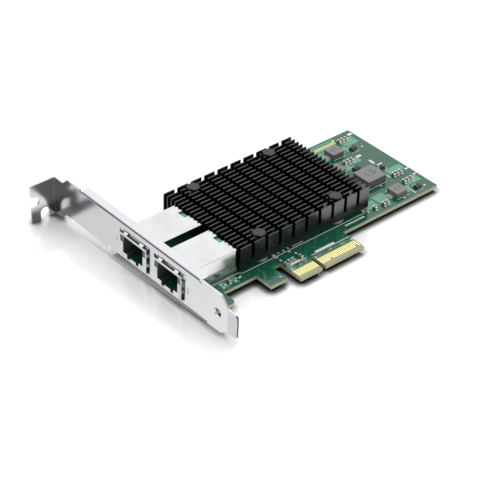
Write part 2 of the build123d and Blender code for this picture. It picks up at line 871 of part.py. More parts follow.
# Ceramic capacitors: rows beside the heat sink, and single ones along the front edge
capacitors = [(heatsink_right + distance, y, count) for distance, y, count in capacitor_rows]
capacitors += [(x, y, 1) for x, y in edge_capacitors]
with BuildPart() as capacitor_bodies:
    for x, y, count in capacitors:
        with Locations((x, y, capacitor_end_skin)):
            with GridLocations(capacitor_row_pitch, 0, count, 1):
                Box(
                    capacitor_width - 2 * capacitor_end_skin,
                    capacitor_length - 2 * capacitor_end,
                    capacitor_height - 2 * capacitor_end_skin,
                    align=(Align.CENTER, Align.CENTER, Align.MIN),
                )
save(capacitor_bodies, "capacitor_bodies")
with BuildPart() as capacitor_ends:
    for x, y, count in capacitors:
        with Locations((x, y, 0)):
            with GridLocations(capacitor_row_pitch, capacitor_length - capacitor_end, count, 2):
                Box(
                    capacitor_width,
                    capacitor_end,
                    capacitor_height,
                    align=(Align.CENTER, Align.CENTER, Align.MIN),
                )
save(capacitor_ends, "capacitor_ends")


# Small switching regulators with leads on both long sides
regulator_centres = [(heatsink_right + distance, y) for distance, y in regulator_places]
with BuildPart() as regulators:
    for x, y in regulator_centres:
        with Locations((x, y, regulator_lift)):
            Box(
                regulator_length,
                regulator_width,
                regulator_height,
                align=(Align.CENTER, Align.CENTER, Align.MIN),
            )
    chamfer(regulators.edges().group_by(Axis.Z)[-1], regulator_lift)
save(regulators, "regulators")
with BuildPart() as regulator_leads:
    lead_row = regulator_width + regulator_lead_reach
    for x, y in regulator_centres:
        with Locations((x, y, 0)):
            with GridLocations(regulator_lead_pitch, lead_row, regulator_lead_count, 2):
                Box(
                    regulator_lead_width,
                    regulator_lead_reach,
                    regulator_lead_thickness,
                    align=(Align.CENTER, Align.CENTER, Align.MIN),
                )
save(regulator_leads, "regulator_leads")


# Round capacitor beside the power inductor
with BuildPart() as round_capacitor:
    with BuildSketch():
        with Locations((heatsink_right + round_capacitor_distance, round_capacitor_y)):
            Circle(round_capacitor_diameter / 2)
    extrude(amount=round_capacitor_height)
    chamfer(round_capacitor.edges().group_by(Axis.Z)[-1], round_capacitor_edge)
save(round_capacitor, "round_capacitor")
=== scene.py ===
import json
import math

import bmesh
import bpy
from mathutils import Matrix, Vector


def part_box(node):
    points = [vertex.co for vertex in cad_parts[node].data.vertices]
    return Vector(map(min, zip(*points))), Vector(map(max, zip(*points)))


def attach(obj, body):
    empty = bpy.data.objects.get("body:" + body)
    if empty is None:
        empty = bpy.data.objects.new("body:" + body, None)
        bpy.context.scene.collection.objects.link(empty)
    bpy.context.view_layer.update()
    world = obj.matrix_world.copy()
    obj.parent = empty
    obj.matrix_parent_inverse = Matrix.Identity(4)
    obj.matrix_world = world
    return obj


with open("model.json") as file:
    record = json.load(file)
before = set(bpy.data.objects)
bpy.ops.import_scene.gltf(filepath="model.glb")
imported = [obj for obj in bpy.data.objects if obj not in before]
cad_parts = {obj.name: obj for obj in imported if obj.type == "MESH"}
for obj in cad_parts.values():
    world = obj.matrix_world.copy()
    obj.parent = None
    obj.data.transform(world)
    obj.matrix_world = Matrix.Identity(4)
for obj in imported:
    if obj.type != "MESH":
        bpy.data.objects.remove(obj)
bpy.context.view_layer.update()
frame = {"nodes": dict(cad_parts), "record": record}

MM = 0.001

# Camera, from a fit to the corners of the bracket, the board and the heat sink
CAMERA_PLACE = Vector((-343.94, -395.96, 421.19)) * MM
CAMERA_AIM = Vector((42.50, 34.98, 0.0)) * MM
CAMERA_RIGHT = Vector((0.75792, -0.65172, 0.02858))
FOCAL_PIXELS = 1730.7
PICTURE_PIXELS = 480
SENSOR_WIDTH = 36.0
CAMERA_REACH = 20

# The card rests on its screw tab, the bracket's lower edge and one push pin
RESTS_ON = [
    Vector((-5.0, 106.6, -6.96)) * MM,
    Vector((2.0, 5.0, -3.78)) * MM,
    Vector((83.9, 22.15, -3.50)) * MM,
]
FLOOR_NORMAL = (RESTS_ON[1] - RESTS_ON[0]).cross(RESTS_ON[2] - RESTS_ON[0]).normalized()


def floor_point(x, y):
    """The point of the floor at a place in the card's own frame."""
    offset = Vector((x, y, 0)) - RESTS_ON[0]
    height = -(offset.x * FLOOR_NORMAL.x + offset.y * FLOOR_NORMAL.y) / FLOOR_NORMAL.z
    return Vector((x, y, RESTS_ON[0].z + height))


# Shader nodes

WHITE = (1, 1, 1, 1)
UPRIGHT = 0.5
NOISE_DETAIL = 3.0
NOISE_RANGE = (0.3, 0.7)
RAMP_RANGE = (0.35, 0.65)
BUMP_HEIGHT = 0.00005


def node_tree(name):
    """A new material with nothing but its output."""
    material = bpy.data.materials.new(name)
    material.use_nodes = True
    tree = material.node_tree
    tree.nodes.clear()
    output = tree.nodes.new("ShaderNodeOutputMaterial")
    return material, tree, output


def add_node(tree, kind, inputs=None, **settings):
    """A node with its settings. Each input takes a value or another node's output."""
    node = tree.nodes.new(kind)
    for key, value in settings.items():
        setattr(node, key, value)
    for key, value in (inputs or {}).items():
        if isinstance(value, bpy.types.NodeSocket):
            tree.links.new(value, node.inputs[key])
        else:
            node.inputs[key].default_value = value
    return node


def compute(tree, operation, first, second=0.0):
    """The result of a Math node."""
    return add_node(tree, "ShaderNodeMath", {0: first, 1: second}, operation=operation).outputs[0]


def split(tree, coordinate):
    """X, Y and Z of the Object coordinate, in metres, or of the Normal."""
    place = add_node(tree, "ShaderNodeTexCoord")
    return add_node(tree, "ShaderNodeSeparateXYZ", {"Vector": place.outputs[coordinate]}).outputs


def mix(tree, share, first, second, blend="MIX"):
    """Two colours mixed by a share."""
    inputs = {"Fac": share, "Color1": first, "Color2": second}
    return add_node(tree, "ShaderNodeMixRGB", inputs, blend_type=blend).outputs["Color"]


def soft_step(tree, value, start, end, high):
    """Goes smoothly from 0 to high while a value goes from start to end."""
    inputs = {"Value": value, "From Min": start, "From Max": end, "To Min": 0.0, "To Max": high}
    step = add_node(tree, "ShaderNodeMapRange", inputs, interpolation_type="SMOOTHSTEP")
    return step.outputs["Result"]


def object_noise(tree, scale, stretch=(1, 1, 1)):
    """Noise laid out in the object's own metres."""
    place = add_node(tree, "ShaderNodeTexCoord")
    mapping = add_node(
        tree, "ShaderNodeMapping", {"Vector": place.outputs["Object"], "Scale": stretch}
    )
    noise = add_node(
        tree,
        "ShaderNodeTexNoise",
        {"Vector": mapping.outputs["Vector"], "Scale": scale, "Detail": NOISE_DETAIL},
    )
    return noise.outputs["Fac"]


def ramp_between(tree, source, low, high):
    """Two colours mixed by a noise value."""
    ramp = add_node(tree, "ShaderNodeValToRGB", {"Fac": source})
    ramp.color_ramp.elements[0].position = RAMP_RANGE[0]
    ramp.color_ramp.elements[1].position = RAMP_RANGE[1]
    ramp.color_ramp.elements[0].color = (*low, 1)
    ramp.color_ramp.elements[1].color = (*high, 1)
    return ramp.outputs["Color"]


def flat_faces(tree, bare):
    """1 on faces that lie flat, outside the bare corner if there is one."""
    level = compute(tree, "ABSOLUTE", split(tree, "Normal")["Z"])
    flat = compute(tree, "GREATER_THAN", level, UPRIGHT)
    if bare is None:
        return flat
    spot = split(tree, "Object")
    left = compute(tree, "LESS_THAN", spot["X"], bare[0])
    above = compute(tree, "GREATER_THAN", spot["Y"], bare[1])
    return compute(tree, "MINIMUM", flat, compute(tree, "MAXIMUM", left, above))


def leaning_normal(tree, amount, end_y):
    """The faces' direction, tipped up a little short of a place along Y."""
    facing = add_node(tree, "ShaderNodeNewGeometry").outputs["Normal"]
    short = compute(tree, "LESS_THAN", split(tree, "Object")["Y"], end_y)
    rise = add_node(tree, "ShaderNodeCombineXYZ", {"Z": compute(tree, "MULTIPLY", short, amount)})
    tip = add_node(
        tree, "ShaderNodeVectorMath", {0: facing, 1: rise.outputs["Vector"]}, operation="ADD"
    )
    even = add_node(
        tree, "ShaderNodeVectorMath", {0: tip.outputs["Vector"]}, operation="NORMALIZE"
    )
    return even.outputs["Vector"]


def surface(
    name,
    low,
    high,
    metallic=0.0,
    roughness=(0.4, 0.5),
    grain=400.0,
    stretch=(1, 1, 1),
    bump=0.0,
    bump_grain=3000.0,
    specular=0.5,
    upright_colours=None,
    bare=None,
    lean=None,
):
    """A surface whose colour, roughness and height vary a little over it.

    With upright colours, faces that stand upright take those colours instead, and so
    does the bare corner beyond the X and short of the Y given in metres: bare laminate
    on the board, painted shade on the inductors' sides. A lean, an amount and a Y in
    metres, shades the faces short of that Y as if they tipped up.
    """
    material, tree, output = node_tree(name)
    noise = object_noise(tree, grain, stretch)
    colour = ramp_between(tree, noise, low, high)
    if upright_colours:
        colour = mix(tree, flat_faces(tree, bare), ramp_between(tree, noise, *upright_colours), colour)
    gloss = add_node(
        tree,
        "ShaderNodeMapRange",
        {
            "Value": noise,
            "From Min": NOISE_RANGE[0],
            "From Max": NOISE_RANGE[1],
            "To Min": roughness[0],
            "To Max": roughness[1],
        },
    )
    shader = add_node(
        tree,
        "ShaderNodeBsdfPrincipled",
        {
            "Base Color": colour,
            "Metallic": metallic,
            "Roughness": gloss.outputs["Result"],
            "Specular IOR Level": specular,
        },
    )
    if lean:
        tree.links.new(leaning_normal(tree, *lean), shader.inputs["Normal"])
    if bump:
        relief = object_noise(tree, bump_grain, stretch)
        height = add_node(
            tree,
            "ShaderNodeBump",
            {"Height": relief, "Strength": bump, "Distance": BUMP_HEIGHT},
        )
        tree.links.new(height.outputs["Normal"], shader.inputs["Normal"])
    tree.links.new(shader.outputs["BSDF"], output.inputs["Surface"])
    return material


def grey(value):
    return (value, value, value)


# Materials

MATERIALS = {
    "solder_mask": surface(
        "solder_mask", (0.006, 0.112, 0.060), (0.010, 0.140, 0.078), roughness=(0.12, 0.18),
        grain=500, bump=0.06, bump_grain=5000, specular=0.6,
        upright_colours=((0.42, 0.41, 0.25), (0.49, 0.47, 0.30)), bare=(0.0430, 0.0056),
    ),
    "gold_plate": surface(
        "gold_plate", (0.98, 0.93, 0.40), (1.00, 0.96, 0.45), metallic=1.0,
        roughness=(0.16, 0.22), grain=1500,
    ),
    "bracket_steel": surface(
        "bracket_steel", (0.590, 0.600, 0.615), (0.615, 0.625, 0.640), metallic=1.0,
        roughness=(0.16, 0.21), grain=120, stretch=(1, 1, 3),
    ),
    "screw_steel": surface(
        "screw_steel", grey(0.50), grey(0.56), metallic=1.0, roughness=(0.2, 0.3), grain=900,
    ),
    "shield_metal": surface(
        "shield_metal", (0.57, 0.58, 0.58), (0.63, 0.64, 0.64), metallic=1.0,
        roughness=(0.14, 0.20), grain=100, lean=(0.15, 0.0215),
    ),
    "jack_plastic": surface(
        "jack_plastic", grey(0.075), grey(0.095), roughness=(0.4, 0.5), grain=1200, bump=0.2,
    ),
    "light_pipe": surface(
        "light_pipe", grey(0.10), grey(0.14), roughness=(0.25, 0.35), grain=800,
    ),
    "transformer_plastic": surface(
        "transformer_plastic", grey(0.012), grey(0.018), roughness=(0.5, 0.6), grain=1200,
    ),
    "inner_board": surface(
        "inner_board", (0.005, 0.095, 0.055), (0.008, 0.12, 0.07), roughness=(0.35, 0.45),
        grain=900, specular=0.3,
    ),
    "tinned_metal": surface(
        "tinned_metal", grey(0.78), grey(0.88), metallic=0.7, roughness=(0.3, 0.45), grain=2500,
    ),
    "black_anodised": surface(
        "black_anodised", grey(0.003), grey(0.005), roughness=(0.20, 0.26),
        grain=500, bump=0.05, specular=0.8,
    ),
    "pin_plastic": surface(
        "pin_plastic", grey(0.012), grey(0.018), roughness=(0.3, 0.38), grain=900, bump=0.1,
    ),
    "spring_steel": surface(
        "spring_steel", grey(0.25), grey(0.32), metallic=1.0, roughness=(0.35, 0.45), grain=900,
    ),
    "thermal_pad": surface(
        "thermal_pad", grey(0.25), grey(0.30), roughness=(0.7, 0.8), grain=900,
    ),
    "chip_package": surface(
        "chip_package", (0.01, 0.07, 0.03), (0.015, 0.09, 0.04), roughness=(0.4, 0.5),
        grain=900,
    ),
    # Its upright sides are a darker grey than its top: painted shade, the body is one grey all
    # round
    "inductor_body": surface(
        "inductor_body", (0.30, 0.295, 0.295), (0.37, 0.365, 0.365), roughness=(0.6, 0.75),
        grain=3500, bump=0.5, bump_grain=6000, specular=0.2,
        upright_colours=((0.19, 0.19, 0.185), (0.24, 0.24, 0.235)),
    ),
    "capacitor_ceramic": surface(
        "capacitor_ceramic", (0.22, 0.14, 0.04), (0.32, 0.21, 0.07), roughness=(0.4, 0.5),
        grain=1500,
    ),
    "regulator_plastic": surface(
        "regulator_plastic", grey(0.02), grey(0.028), roughness=(0.45, 0.55), grain=1800,
        bump=0.2,
    ),
    "can_metal": surface(
        "can_metal", grey(0.10), grey(0.13), roughness=(0.35, 0.45), grain=900,
    ),
}

# Painted shade for the end face of the bracket's tongue; the steel itself is one colour
TONGUE_END_SHADE = (0.09, 0.09, 0.10, 1)
TONGUE_END_Y = -0.0118


def paint_tongue_end_shade(material, end_y):
    """Darkens the faces that look down Y short of a place: painted shade on the end face of the
    bracket's tongue.
    """
    tree = material.node_tree
    shader = next(n for n in tree.nodes if n.type == "BSDF_PRINCIPLED")
    unshaded_colour = shader.inputs["Base Color"].links[0].from_socket
    down = compute(tree, "LESS_THAN", split(tree, "Normal")["Y"], -UPRIGHT)
    short = compute(tree, "LESS_THAN", split(tree, "Object")["Y"], end_y)
    colour = mix(tree, compute(tree, "MINIMUM", down, short), unshaded_colour, TONGUE_END_SHADE)
    tree.links.new(colour, shader.inputs["Base Color"])


paint_tongue_end_shade(MATERIALS["bracket_steel"], TONGUE_END_Y)

# Finishes that only the dressing uses
MATERIALS["copper_under_mask"] = surface(
    "copper_under_mask", (0.10, 0.40, 0.25), (0.15, 0.48, 0.31), roughness=(0.12, 0.18),
    grain=900, bump=0.1, specular=0.6,
)
MATERIALS["bright_mask"] = surface(
    "bright_mask", (0.03, 0.33, 0.15), (0.05, 0.40, 0.19), roughness=(0.15, 0.2),
    grain=900, bump=0.1, specular=0.6,
)
MATERIALS["trace_under_mask"] = surface(
    "trace_under_mask", (0.010, 0.24, 0.125), (0.018, 0.30, 0.155), roughness=(0.12, 0.18),
    grain=900, specular=0.6,
)
MATERIALS["pale_copper"] = surface(
    "pale_copper", (0.16, 0.34, 0.24), (0.26, 0.46, 0.35), roughness=(0.15, 0.22),
    grain=1500, specular=0.6,
)
# A near black for plates in place of holes on the jacks: painted shade
MATERIALS["shadow_plastic"] = surface(
    "shadow_plastic", grey(0.035), grey(0.05), roughness=(0.6, 0.7), grain=2500, specular=0.2,
)
# Laminate between the gold contacts, darkened with painted shade
MATERIALS["finger_gap_shade"] = surface(
    "finger_gap_shade", (0.05, 0.045, 0.012), (0.07, 0.06, 0.016), roughness=(0.5, 0.6), grain=2500,
)
# A grey for the fold along the top of each jack: painted shade
MATERIALS["shield_fold_shade"] = surface(
    "shield_fold_shade", grey(0.16), grey(0.20), metallic=0.6, roughness=(0.4, 0.5), grain=900,
)
# A light copy of the board's green for the jacks' notch: painted highlight
MATERIALS["notch_highlight_green"] = surface(
    "notch_highlight_green", (0.10, 0.44, 0.29), (0.14, 0.50, 0.34), roughness=(0.3, 0.4), grain=1500,
)
MATERIALS["silk_ink"] = surface(
    "silk_ink", grey(0.93), grey(0.98), roughness=(0.35, 0.45), grain=2500, specular=0.8,
)
MATERIALS["marking_ink"] = surface(
    "marking_ink", grey(0.09), grey(0.13), roughness=(0.6, 0.7), grain=2500,
)
MATERIALS["bracket_ink"] = surface(
    "bracket_ink", grey(0.20), grey(0.26), roughness=(0.5, 0.6), grain=2500,
)
MATERIALS["pale_gold"] = surface(
    "pale_gold", (0.72, 0.66, 0.30), (0.82, 0.76, 0.38), metallic=0.6, roughness=(0.3, 0.4),
    grain=1500,
)

for subpart in frame["record"]["subparts"]:
    node = frame["nodes"][subpart["node"]]
    node.data.materials.clear()
    node.data.materials.append(MATERIALS[subpart["material_slot"]])


# Flat work: copper, ink and solder as thin plates, all in millimetres


def bar(start, end, width):
    """Outline of a straight strip between two points."""
    start, end = Vector(start), Vector(end)
    side = (end - start).orthogonal().normalized() * (width / 2)
    return [tuple(p) for p in (start + side, end + side, end - side, start - side)]


def rect(x0, y0, x1, y1):
    return [(x0, y0), (x1, y0), (x1, y1), (x0, y1)]


def disc(x, y, radius, sides=20):
    """Outline of a disc."""
    turn = 2 * math.pi / sides
    return [
        (x + radius * math.cos(turn * k), y + radius * math.sin(turn * k)) for k in range(sides)
    ]


def path(points, width):
    """Strips along a broken line, with a round joint at each corner."""
    outlines = [bar(a, b, width) for a, b in zip(points, points[1:])]
    return outlines + [disc(x, y, width / 2, 10) for x, y in points[1:-1]]


def ring(x, y, inner, outer, sides=32):
    """Outlines of the pieces of a ring."""
    turn = 2 * math.pi / sides
    spokes = [(math.cos(turn * k), math.sin(turn * k)) for k in range(sides + 1)]
    return [
        [
            (x + inner * a[0], y + inner * a[1]),
            (x + outer * a[0], y + outer * a[1]),
            (x + outer * b[0], y + outer * b[1]),
            (x + inner * b[0], y + inner * b[1]),
        ]
        for a, b in zip(spokes, spokes[1:])
    ]


def box_line(x0, y0, x1, y1, width):
    """Strips along the outline of a rectangle."""
    return path([(x0, y0), (x1, y0), (x1, y1), (x0, y1), (x0, y0)], width)


def plates(name, outlines, heights, material):
    """Upright plates from their outlines, between two heights, as one piece."""
    low, high = heights
    mesh_data = bmesh.new()
    for outline in outlines:
        bottom = [mesh_data.verts.new(Vector((x, y, low)) * MM) for x, y in outline]
        top = [mesh_data.verts.new(Vector((x, y, high)) * MM) for x, y in outline]
        mesh_data.faces.new(bottom)
        mesh_data.faces.new(top)
        for k in range(len(outline)):
            m = (k + 1) % len(outline)
            mesh_data.faces.new((bottom[k], bottom[m], top[m], top[k]))
    bmesh.ops.recalc_face_normals(mesh_data, faces=mesh_data.faces)
    return add_piece(name, mesh_data, material)


def add_piece(name, mesh_data, material):
    """A new object from mesh code that rides with the card."""
    mesh = bpy.data.meshes.new(name)
    mesh_data.to_mesh(mesh)
    mesh_data.free()
    mesh.materials.append(MATERIALS[material])
    piece = bpy.data.objects.new(name, mesh)
    bpy.context.scene.collection.objects.link(piece)
    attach(piece, "root")
    return piece


# Heights of the plates over the board's faces, all sunk a little into what carries them
SUNK = 0.01
COPPER_RISE = 0.015
VIA_RISE = 0.020
INK_RISE = 0.03
GAP_RISE = 0.066
BOARD_BACK = -1.57
FRONT_COPPER = (-SUNK, COPPER_RISE)
FRONT_VIA = (-SUNK, VIA_RISE)
FRONT_INK = (-SUNK, INK_RISE)
FRONT_GAP = (-SUNK, GAP_RISE)
BACK_COPPER = (BOARD_BACK - COPPER_RISE, BOARD_BACK + SUNK)
BACK_INK = (BOARD_BACK - INK_RISE, BOARD_BACK + SUNK)
BACK_GAP = (BOARD_BACK - GAP_RISE, BOARD_BACK + SUNK)

# Places of the parts that the plates go with
# The contacts stand 1 mm apart: those left of the key from the key outward, then the others
KEY_CENTRE = 57.25
CONTACT_TO_KEY = 1.5
FINGERS = [KEY_CENTRE - CONTACT_TO_KEY - k for k in range(11)]
FINGERS += [KEY_CENTRE + CONTACT_TO_KEY + k for k in range(21)]
BESIDE_KEY, FIRST_FINGER, LAST_FINGER = FINGERS[0], FINGERS[10], FINGERS[-1]
JACK_CENTRES = {"jack_1": 51.15, "jack_2": 28.85}
JACK_TOP = 10.15
JACK_TAILS_X = (19.75, 24.25)
TAIL_PITCH = 2.8
PUSH_PINS = [(x, y) for x in (41.2, 83.6) for y in (22.15, 64.05)]
REGULATORS = [(127.2, 55.8), (117.0, 43.2), (128.3, 16.6)]
# Name, X, Y, top, half the length of the body, half the width of a lead, number, its size
INDUCTORS = [
    ("power", 115.8, 33.7, 3.4, 5.4, 2.6, "1.5", 5.0),
    ("input", 117.4, 57.95, 2.5, 3.4, 1.7, "4.7", 3.0),
    ("core", 107.75, 46.7, 2.5, 3.35, 1.7, "4.7", 3.0),
    ("output", 118.15, 18.95, 2.5, 3.35, 1.7, "4.7", 3.0),
]
# X and Y of a row's middle, and its count
CAPACITOR_ROWS = [
    (128.0, 63.6, 3), (118.2, 49.4, 3), (128.6, 29.5, 3), (128.6, 22.9, 3), (108.4, 16.1, 2),
    (102.3, 16.3, 1), (20.4, 16.0, 1), (45.9, 10.0, 1), (54.05, 10.3, 1),
]
CAPACITOR_PITCH = 2.05
THIN_TRACE = 0.2
THICK_TRACE = 0.3
INK_LINE = 0.36
THIN_INK_LINE = 0.32
REGULATOR_LINE = 0.2
JACK_OUTLINE = 0.3
CHIP_OUTLINE = 0.25


def finger_gaps(left_out):
    """Laminate at the right of each contact that isn't left out, darkened with painted shade
    between the raised contacts.
    """
    return [rect(x + 0.32, 1.35, x + 0.68, 5.45) for x in FINGERS if x not in left_out]


def finger_traces(start, stagger=0.8):
    """A short trace from each contact, every second one longer."""
    traces = []
    for index, x in enumerate(FINGERS):
        traces += path([(x, 5.5), (x, start + stagger * (index % 2))], THIN_TRACE)
    return traces


def finger_vias(start, sides, stagger=0.8):
    """A via at the end of each contact's trace."""
    return [
        disc(x, start + stagger * (index % 2), 0.28, sides) for index, x in enumerate(FINGERS)
    ]


# Copper and gold on the front

pours = [
    rect(126.0, 58.9, 133.8, 64.6),
    [(124.0, 55.4), (126.6, 57.6), (126.6, 59.9), (124.9, 60.6), (123.2, 58.6)],
    rect(116.4, 46.9, 124.0, 50.6),
    [(113.5, 44.2), (116.6, 45.0), (117.0, 48.4), (114.0, 48.9)],
    rect(125.7, 30.9, 134.9, 34.9),
    rect(126.0, 20.1, 134.2, 24.6),
    rect(106.7, 17.6, 113.0, 23.4),
    [(98.6, 17.0), (105.6, 17.0), (105.6, 21.6), (103.4, 22.6)],
    [(122.8, 15.9), (125.9, 18.6), (125.9, 20.6), (122.8, 20.6)],
    rect(110.2, 55.4, 113.8, 62.2),
    rect(15.8, 13.7, 19.2, 17.6),
    rect(21.9, 13.6, 24.4, 17.6),
    rect(45.1, 5.8, 47.6, 8.2),
    rect(58.3, 5.8, 59.5, 6.9),
    rect(16.8, 20.2, 26.6, 25.6),
]
plates("copper_pours", pours, FRONT_COPPER, "copper_under_mask")
gold = [rect(110.9 + 1.05 * k, 63.9, 111.6 + 1.05 * k, 65.9) for k in range(13)]
gold += [disc(131.9, 55.0, 0.5), disc(132.0, 15.9, 0.55), disc(124.6, 66.2, 0.6)]
plates("gold_pads", gold, FRONT_INK, "pale_gold")

# X, and the Y where the trace turns and where it ends
TRACES = [
    (55.4, 9.6, 17.9), (56.3, 9.6, 17.9), (60.0, 13.4, 17.9), (61.2, 13.4, 19.4),
    (65.0, 13.8, 19.4), (65.9, 13.8, 19.4), (69.6, 12.9, 19.4), (73.5, 9.4, 17.9),
    (74.9, 9.4, 17.9), (77.2, 9.8, 15.9), (81.8, 14.2, 19.4), (85.4, 13.9, 19.4),
    (89.4, 14.2, 19.4), (92.3, 13.9, 19.4),
]
traces = []
for x, low, high in TRACES:
    traces += path([(x, low - 1.1), (x, low), (x + high - low, high)], THIN_TRACE)
traces += path([(33.3, 9.2), (36.0, 13.4)], THICK_TRACE)
traces += path([(36.9, 6.6), (40.1, 11.0)], THICK_TRACE)
traces += finger_traces(6.5)

# Thin lines just inside the board's outline along the hook and the outer rim, in light green:
# painted highlight where the rim of the board catches light
HOOK_EDGE = [
    (14.9, 12.75), (32.3, 12.75), (32.3, 3.9), (40.1, 3.9), (40.1, 12.4), (41.0, 13.4),
    (43.6, 13.4), (45.1, 12.4), (45.1, 8.9),
]
OUTER_EDGE = [
    (79.4, 6.2), (79.4, 12.3), (80.2, 12.75), (136.0, 12.75), (136.0, 68.5), (2.4, 68.5),
]
# Pours in light green, and the lines along the outline: painted highlight
pours_and_rim_sheen = [rect(110.6, 66.3, 125.5, 67.8), rect(110.2, 62.6, 118.4, 63.6)]
pours_and_rim_sheen += path(HOOK_EDGE, THIN_TRACE) + path(OUTER_EDGE, THIN_TRACE)
plates("pours_with_rim_sheen", pours_and_rim_sheen, FRONT_COPPER, "bright_mask")
plates("front_traces", traces, FRONT_COPPER, "trace_under_mask")

VIAS = [
    (57.4, 14.7), (63.3, 12.0), (64.8, 11.0), (71.8, 13.4), (78.3, 10.6), (82.2, 14.1),
    (88.6, 13.9), (100.4, 14.0), (112.6, 14.3), (113.9, 26.0), (122.9, 27.0), (131.6, 37.2),
    (133.6, 45.8), (130.2, 52.0), (121.6, 53.4), (114.6, 51.8), (128.0, 47.6), (123.8, 12.9),
    (108.2, 25.2),
]
LARGE_VIAS = [(33.6, 6.6), (38.7, 6.0), (36.4, 8.0), (30.2, 14.6), (27.0, 14.2), (35.0, 14.4)]
vias = finger_vias(6.7, 12)
vias += [rect(50.3, 6.3, 51.6, 7.6), rect(53.4, 6.2, 54.3, 7.9), rect(66.6, 6.3, 68.4, 7.6)]
vias += [rect(61.0, 6.4, 62.2, 7.4), rect(73.2, 6.2, 75.4, 7.8), rect(78.4, 5.9, 79.3, 7.2)]
vias += [disc(x, y, 0.3, 12) for x, y in LARGE_VIAS]
vias += [disc(x, y, 0.26, 12) for x, y in VIAS]
gaps = finger_gaps((BESIDE_KEY, LAST_FINGER))
plates("finger_gaps", gaps, FRONT_GAP, "finger_gap_shade")
plates("vias", vias, FRONT_VIA, "pale_copper")

# Ink on the front: lines, rings round the push pins, and bars where print would stand

INK_PATHS = [
    ([(13.6, 18.35), (27.4, 18.25), (28.3, 17.1), (97.2, 16.9)], INK_LINE),
    ([(45.0, 8.7), (56.1, 8.7)], THIN_INK_LINE),
    ([(58.4, 8.7), (79.7, 8.6)], INK_LINE),
]
# Left end, Y and right end of the lines at both sides of each inductor
INDUCTOR_LINES = [
    (110.3, 28.0, 121.0), (110.3, 39.4, 121.0), (114.8, 15.2, 121.8), (114.8, 22.8, 121.8),
    (114.0, 54.2, 120.9), (114.0, 61.8, 120.9), (104.4, 43.0, 111.2), (104.4, 50.4, 111.2),
]
INK_BARS = [
    (47.6, 9.0, 52.9, 9.9), (48.4, 10.5, 49.8, 10.8), (50.2, 10.5, 51.9, 10.8),
    (48.3, 11.3, 51.9, 11.55), (48.6, 12.1, 49.7, 12.7), (50.4, 12.1, 52.0, 12.7),
    (61.3, 8.9, 71.9, 10.0), (38.6, 5.5, 39.4, 6.2), (45.5, 16.1, 47.0, 18.9),
    (48.2, 18.1, 49.6, 18.7), (51.2, 17.6, 52.0, 19.0), (52.6, 15.8, 53.6, 17.0),
    (53.8, 17.9, 54.6, 19.2), (25.2, 15.1, 26.0, 16.2), (26.3, 15.5, 26.9, 16.6),
    (46.0, 13.2, 46.6, 14.6), (54.3, 13.2, 54.9, 14.6), (116.0, 26.9, 117.2, 27.6),
    (117.6, 14.0, 118.8, 14.7), (124.1, 29.4, 124.6, 32.2), (124.4, 13.9, 124.9, 17.6),
    (133.2, 65.0, 135.7, 66.6), (123.8, 49.6, 126.6, 50.9), (133.9, 29.6, 135.9, 30.5),
    (133.6, 24.6, 135.9, 25.3), (126.0, 41.6, 127.2, 44.9), (126.6, 39.5, 129.6, 40.3),
    (96.5, 17.6, 97.8, 19.3), (98.2, 15.6, 98.7, 17.6),
]
INK_SQUARES = [(15.9, 14.0), (17.5, 15.1), (16.2, 16.4), (22.6, 14.6)]
SMALL_INK_SQUARES = [(23.8, 15.9), (58.5, 6.2), (79.0, 6.3), (45.3, 5.8)]

ink = []
for points, width in INK_PATHS:
    ink += path(points, width)
for left, y, right in INDUCTOR_LINES:
    ink += path([(left, y), (right, y)], THIN_INK_LINE)
for x, y in PUSH_PINS:
    ink += ring(x, y, 2.0, 4.15)
ink += ring(126.8, 36.8, 1.75, 1.95)
ink += [rect(*corners) for corners in INK_BARS]
ink += [rect(x, y, x + 0.9, y + 0.8) for x, y in INK_SQUARES]
ink += [rect(x, y, x + 0.8, y + 0.7) for x, y in SMALL_INK_SQUARES]
ink += [rect(83.7 + 1.6 * k, 14.6, 85.1 + 1.6 * k, 15.6) for k in range(7)]
ink += [rect(56.6 + 1.0 * k, 17.9, 57.2 + 1.0 * k, 18.6) for k in range(6)]
for x, y in REGULATORS:
    ink.append(disc(x - 2.2, y - 2.0, 0.28, 12))
    for k in (-1, 0, 1):
        for side in (-2.1, 2.1):
            left, low = x + 0.85 * k - 0.24, y + side - 0.42
            ink.append(rect(left, low, left + 0.48, low + 0.84))
    ink += path([(x + 1.9, y - 1.6), (x + 1.9, y + 1.6)], REGULATOR_LINE)
plates("silk_lines", ink, FRONT_INK, "silk_ink")

# The back: solder where each pin comes through, ink round the parts, copper and vias

joints = []
back_ink = []
for centre in JACK_CENTRES.values():
    for x in JACK_TAILS_X:
        for k in range(-2, 3):
            joints += ring(x, centre + TAIL_PITCH * k, 0.3, 0.85, 16)
    for side in (-8.8, 8.8):
        joints.append(rect(20.6, centre + side - 0.75, 23.4, centre + side + 0.75))
    back_ink += box_line(3.4, centre - 9.9, 27.4, centre + 9.9, JACK_OUTLINE)
for x, y in PUSH_PINS:
    back_ink += ring(x, y, 2.3, 2.6)
back_ink += box_line(50.2, 33.0, 75.0, 56.0, CHIP_OUTLINE)
plates("back_solder", joints, BACK_INK, "tinned_metal")
plates("back_ink", back_ink, BACK_INK, "silk_ink")

back_vias = []
for i in range(11):
    back_vias += [disc(53.0 + 1.9 * i, 35.4 + 1.9 * j, 0.32, 10) for j in range(10)]
for i in range(3):
    back_vias += [disc(108.5 + 3.1 * i, 26.0 + 3.4 * j, 0.3, 10) for j in range(5)]
back_vias += finger_vias(7.0, 10)
for x, y in ((30.2, 14.6), (35.0, 14.4), (36.4, 8.0), (96.0, 14.0)):
    back_vias.append(disc(x, y, 0.3, 10))
plates("back_vias", back_vias, BACK_COPPER, "pale_copper")

